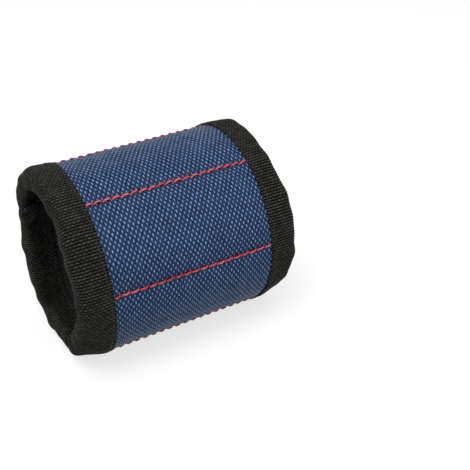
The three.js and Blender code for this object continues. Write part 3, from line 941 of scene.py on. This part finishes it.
patch = flat_cut(
    "loop_patch_base", (-LOOP_HALF, LOOP_SPAN[0]), (LOOP_HALF, LOOP_SPAN[1]), LOOP_BASE_STEP, LOOP_BASE)
round_edges(patch, LOOP_BASE_ROUND, segments=2)
flat = flat_points(patch)
round_tip(flat, LOOP_SPAN[1], LOOP_CORNER, LOOP_HALF)
flat[:, 2] += LOOP_BASE_TOP
wrap(patch, flat, loop_weave)

bpy.ops.mesh.primitive_torus_add(
    major_segments=9, minor_segments=3, major_radius=(LOOP_TOP - LOOP_BASE_TOP) * LOOP_SIZE * MM,
    minor_radius=LOOP_YARN * MM, rotation=(math.pi / 2, 0, 0))
pile = newest("loop_pile")
bpy.ops.object.transform_apply(location=False, rotation=True, scale=False)
loop_points = len(pile.data.vertices)
flat = cover(pile, LOOP_PITCH, LOOP_MARGIN, LOOP_HALF, LOOP_SPAN).reshape(-1, loop_points, 3)
middles = (flat.max(axis=1) + flat.min(axis=1)) / 2
loose = flat - middles[:, None]
turns = chance.uniform(0, math.pi, len(flat))[:, None]
leans = chance.uniform(-LOOP_LEAN, LOOP_LEAN, len(flat))[:, None]
sizes = chance.uniform(LOOP_SHRINK, 1.0, len(flat))[:, None]
shifts = chance.uniform(-LOOP_SHIFT, LOOP_SHIFT, (len(flat), 1, 2)) * LOOP_PITCH
leaned = loose[:, :, 1] + leans * loose[:, :, 2]
flat = np.stack([
    loose[:, :, 0] * np.cos(turns) - leaned * np.sin(turns),
    loose[:, :, 0] * np.sin(turns) + leaned * np.cos(turns),
    loose[:, :, 2] * sizes], axis=2) + middles[:, None]
flat[:, :, :2] += shifts
flat = flat.reshape(-1, 3)
flat[:, 2] += LOOP_TOP - flat[:, 2].max()
round_tip(flat, LOOP_SPAN[1], LOOP_CORNER, LOOP_HALF)
wrap(pile, flat, loop_weave)

patch_side = LOOP_HALF - PATCH_STITCH_INSET
patch_start = LOOP_SPAN[0] + PATCH_STITCH_INSET
patch_tip = LOOP_SPAN[1] - PATCH_STITCH_INSET
patch_rows = fine_rows([
    ((-patch_side, patch_start), (patch_side, patch_start)),
    ((-PATCH_TIP_HALF, patch_tip), (PATCH_TIP_HALF, patch_tip)),
    ((-patch_side, patch_start), (-patch_side, PATCH_SIDE_END)),
    ((patch_side, patch_start), (patch_side, PATCH_SIDE_END)),
])
for row in patch_rows:
    wrap(row, flat_points(row) + [0, 0, LOOP_BASE_TOP], threads["black"])
join(patch, patch_rows)
for piece in (patch, pile):
    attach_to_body(piece, "loop_end")
    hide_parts("loop_patch")

# Hem tapes: the rim tape again, cut to the width between the rims. One is folded over the tucked-in
# end, and the other over the cloth where the strap comes out. Both are sewn down with two rows.
HEM_HALF = 32.95
HEM_WIDTH = 12.0
HEM_STITCH_INSET = 2.5
HEM_UNDER = -1.15  # where the strap end's hem lies under the cloth, on the strap
# Along and out, from the lining over the end to the outer face.
HEM_ON_TUCKED_END = [
    (HEM_WIDTH, END_TAPE_FACE), (4.0, END_TAPE_FACE), (0.2, END_TAPE_FACE), (-0.9, -3.7), (-0.9, 0.0),
    (0.2, TAPE_FACE), (4.0, TAPE_FACE), (HEM_WIDTH, TAPE_FACE)]
# Along and out, from the outer face over the end to the strap.
HEM_ON_STRAP_END = [
    (BAND_END - HEM_WIDTH, TAPE_FACE), (BAND_END - 4.0, TAPE_FACE), (BAND_END, TAPE_FACE),
    (BAND_END + 0.8, 0.4), (BAND_END + 0.8, HEM_UNDER), (BAND_END, HEM_UNDER),
    (BAND_END - 3.0, HEM_UNDER)]
hems = {
    "tucked_end_hem": (HEM_ON_TUCKED_END, "loop_end", ["loop_end_outer_hem", "loop_end_inner_hem"]),
    "strap_end_hem_tape": (HEM_ON_STRAP_END, "strap_end", ["strap_end_hem"]),
}


def over_end(flat, corners):
    """Folds flat tape over an end of the band."""
    flat[:, 1:] = fold(corners, flat[:, 1], flat[:, 2])
    pinch(flat)
    return flat


for name, (corners, body, nodes) in hems.items():
    hem = flat_cut(name, (-HEM_HALF, 0), (HEM_HALF, TAPE_WIDTH), TAPE_STEP[::-1], TAPE)
    flat = flat_points(hem)
    keep_flat(hem, flat[:, [1, 0, 2]])
    raise_ribs(flat, flat[:, 0], np.minimum(flat[:, 1], TAPE_WIDTH - flat[:, 1]))
    wrap(hem, over_end(flat, corners), weaves["ribbed_polypropylene_tape"])
    hem_length = rounded_path(corners)[1][-1]
    from_face_edge = np.array([TAPE_STITCH_INSET, HEM_WIDTH - HEM_STITCH_INSET])
    on_hem = from_face_edge if body == "strap_end" else hem_length - from_face_edge
    stitch_places = on_hem * TAPE_WIDTH / hem_length
    hem_rows = fine_rows(((-HEM_HALF, place), (HEM_HALF, place)) for place in stitch_places)
    for row in hem_rows:
        wrap(row, over_end(flat_points(row), corners), threads["black"])
    join(hem, hem_rows)
    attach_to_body(hem, body)
    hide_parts(*nodes)

# Closure strap: black nylon webbing with a rounded tip, sewn between the cloths at the upper end.
# Its root stays in the band, and the rest comes out there and lies over the loop patch.
STRAP_HALF = 25.0
STRAP = 1.3
STRAP_STEP = (1.0, 0.7)
STRAP_TIP_FACING = -48.0
STRAP_TIP_CORNER = 12.0
STRAP_ROUND = 0.4
STRAP_SEAM = np.array([[22.0, 5.0], [22.0, 34.0], [15.0, 42.0]])  # right corners of the sewn frame
strap_line = [
    arc(strap_centre, strap_radius, STRAP_END_FACING, back_facing),
    arc(BACK_CORNER, strap_corner_radius, back_facing, STRAP_TIP_FACING),
]
STRAP_TIP = length_of(strap_line)
root = arc(np.zeros(2), WRAP_RADIUS - STRAP_DEPTH, STRAP_END_FACING + 90, STRAP_END_FACING)
root_line = [root, *strap_line]
ROOT_RUN = length_of([root])  # distance along root_line at which the strap comes out


def peel(piece):
    """Bakes the place of a piece of the strap into its mesh."""
    points, facings = follow(strap_line, np.array([0.0]))
    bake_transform(piece)


strap = flat_cut(
    "closure_strap_webbing", (-STRAP_HALF, -STRAP_ROOT), (STRAP_HALF, STRAP_TIP), STRAP_STEP, STRAP)
round_edges(strap, STRAP_ROUND, segments=3)
flat = flat_points(strap)
keep_flat(strap, flat[:, [1, 0, 2]])
round_tip(flat, STRAP_TIP, STRAP_TIP_CORNER, STRAP_HALF)
flat[:, 1] += ROOT_RUN
wrap(strap, flat, weaves["ribbed_nylon_webbing"], root_line)
left_seam = STRAP_SEAM * [-1, 1]
strap_ends = [(left_seam[0], STRAP_SEAM[0])]
for corner in range(len(STRAP_SEAM) - 1):
    for half_seam in (left_seam, STRAP_SEAM):
        strap_ends.append((half_seam[corner], half_seam[corner + 1]))
strap_ends.append((left_seam[-1], STRAP_SEAM[-1]))
strap_rows = fine_rows(strap_ends)
for row in strap_rows:
    wrap(row, flat_points(row) + [0, ROOT_RUN, 0], threads["black"], root_line)
join(strap, strap_rows)
peel(strap)
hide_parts("strap_root", "closure_strap")

# Hook tape: the stiff half of the closure, a black nylon strip covered with small bent hooks.
# It is sewn to the inner face of the strap, and its hooks catch in the loops of the patch.
HOOK_MOTTLE = 2.0
# Moulded nylon: smoother than the cloths around it, with a faint mottle and small bright highlights.
hook_nylon, hook_shader = new_material("moulded_nylon_hooks")
hook_place = add_node(hook_nylon, "TexCoord", {})
mottle = add_node(
    hook_nylon, "TexNoise", {"Vector": hook_place.outputs["Object"], "Scale": 1 / (HOOK_MOTTLE * MM)})
hook_colour = add_node(
    hook_nylon, "Mix", {SHARE: mottle, FROM: linear("#0e0e0f"), TO: linear("#242426")},
    data_type="RGBA")
feed(hook_nylon, hook_shader, {
    "Base Color": hook_colour.outputs[MIXED], "Roughness": 0.4, "Specular IOR Level": 0.4})

HOOK_HALF = 23.0
HOOK_SPAN = (4.0, STRAP_TIP - 2.0)
HOOK_CORNER = 10.0
HOOK_BASE = 0.5
HOOK_BASE_STEP = (1.0, 0.7)
HOOK_BASE_TOP = STRAP + 0.05  # depth below the strap face
HOOK_PITCH = 1.9
HOOK_MARGIN = 1.5
HOOK_STEM = 0.32
# Steps from the foot of a hook to its tip, and how much narrower it is after each.
HOOK_BENDS = [
    ((0, 0, 0.4), 1.0), ((0, 0, 0.3), 0.95), ((0.12, 0, 0.2), 0.9), ((0.22, 0, 0.04), 0.9),
    ((0.12, 0, -0.16), 0.8)]

hook_strip = flat_cut(
    "hook_tape_base", (-HOOK_HALF, HOOK_SPAN[0]), (HOOK_HALF, HOOK_SPAN[1]), HOOK_BASE_STEP, HOOK_BASE)
flat = flat_points(hook_strip)
round_tip(flat, HOOK_SPAN[1], HOOK_CORNER, HOOK_HALF)
flat[:, 2] -= HOOK_BASE_TOP
wrap(hook_strip, flat, hook_nylon, strap_line)

bpy.ops.mesh.primitive_plane_add(size=HOOK_STEM * MM)
hooks = newest("hook_stems")
bpy.context.tool_settings.mesh_select_mode = (False, False, True)
bpy.ops.object.mode_set(mode="EDIT")
bpy.ops.mesh.select_all(action="SELECT")
for move, shrink in HOOK_BENDS:
    bpy.ops.mesh.extrude_region_move(TRANSFORM_OT_translate={"value": np.multiply(move, MM)})
    bpy.ops.transform.resize(value=(shrink, shrink, 1))
bpy.ops.mesh.select_all(action="SELECT")
bpy.ops.mesh.normals_make_consistent(inside=False)
bpy.ops.object.mode_set(mode="OBJECT")
flat = cover(hooks, HOOK_PITCH, HOOK_MARGIN, HOOK_HALF, HOOK_SPAN) * [1, 1, -1]
flat[:, 2] -= HOOK_BASE_TOP + HOOK_BASE
round_tip(flat, HOOK_SPAN[1], HOOK_CORNER, HOOK_HALF)
wrap(hooks, flat, hook_nylon, strap_line)
hooks.data.flip_normals()
for piece in (hook_strip, hooks):
    peel(piece)
    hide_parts("hook_tape")

# Studio: a pale paper floor, a large soft lamp above and to the left of the camera, a weaker one on
# its right, and an even white surround.
FLOOR_SIZE = 4.0
FLOOR_GAP = 0.0002
FLOOR_WHITE = 0.68  # what the camera sees on top of the light that falls on the floor
SURROUND = 0.5  # light of the surround, which itself is seen as white
bpy.ops.mesh.primitive_plane_add(size=FLOOR_SIZE, location=(0, 0, -FLOOR_GAP))
studio_floor = newest("studio_floor")
# Matt white paper: plain, with no gloss, and it keeps the soft shadow of the band.
paper, paper_shader = new_material("matt_white_paper")
world = bpy.data.worlds.new("white_surround")
world.use_nodes = True
bpy.context.scene.world = world
seen = {}
for surface in (paper, world):
    path = add_node(surface, "LightPath", {})
    seen[surface] = path.outputs["Is Camera Ray"]
    for rays in ("Is Glossy Ray", "Is Transmission Ray"):
        either = add_node(
            surface, "Math", {0: seen[surface], 1: path.outputs[rays]}, operation="MAXIMUM")
        seen[surface] = either
floor_glow = add_node(paper, "Math", {0: seen[paper], 1: FLOOR_WHITE}, operation="MULTIPLY")
feed(paper, paper_shader, {
    "Base Color": linear("#aaaaaa"), "Roughness": 1.0, "Specular IOR Level": 0.0,
    "Emission Color": linear("#ffffff"), "Emission Strength": floor_glow,
})
studio_floor.data.materials.append(paper)
surround_light = add_node(
    world, "MapRange", {"Value": seen[world], "To Min": SURROUND, "To Max": 1.0})
feed(world, world.node_tree.nodes["Background"], {
    "Color": linear("#ffffff"), "Strength": surround_light})

for name, place, size, power in (
        ("key_lamp", (-0.3, -0.2, 0.8), 0.55, 4.2),
        ("fill_lamp", (0.4, -0.7, 0.4), 0.6, 1.9)):
    bpy.ops.object.light_add(type="AREA", location=place)
    lamp = newest(name)
    lamp.data.size = size
    lamp.data.energy = power
    aim = in_frame(np.zeros(2))[0] - np.array(place)
    tilt = math.atan2(math.hypot(aim[0], aim[1]), -aim[2])
    lamp.rotation_euler = (tilt, 0, math.atan2(-aim[0], aim[1]))
bpy.context.scene.view_settings.view_transform = "Standard"

# Camera: at the photograph's viewing angle, fitted to the rims and the pocket seams that it shows.
# Its lens comes from the fitted focal length, in pixels of the square picture.
CAMERA_PLACE = (-110.65, -251.76, 179.85)  # from the band's axis
CAMERA_AZIMUTH = -30.7
CAMERA_ELEVATION = 33.4
FOCAL_PIXELS = 800.0
IMAGE_PIXELS = 470.0
bpy.ops.object.camera_add(
    location=in_frame(np.array(CAMERA_PLACE[1:]))[0] + np.array([CAMERA_PLACE[0] * MM, 0, 0]),
    rotation=(math.radians(90 - CAMERA_ELEVATION), 0, math.radians(CAMERA_AZIMUTH)))
camera = bpy.context.object
camera.data.lens = FOCAL_PIXELS / IMAGE_PIXELS * camera.data.sensor_width
camera.data.clip_start = MM
bpy.context.scene.camera = camera
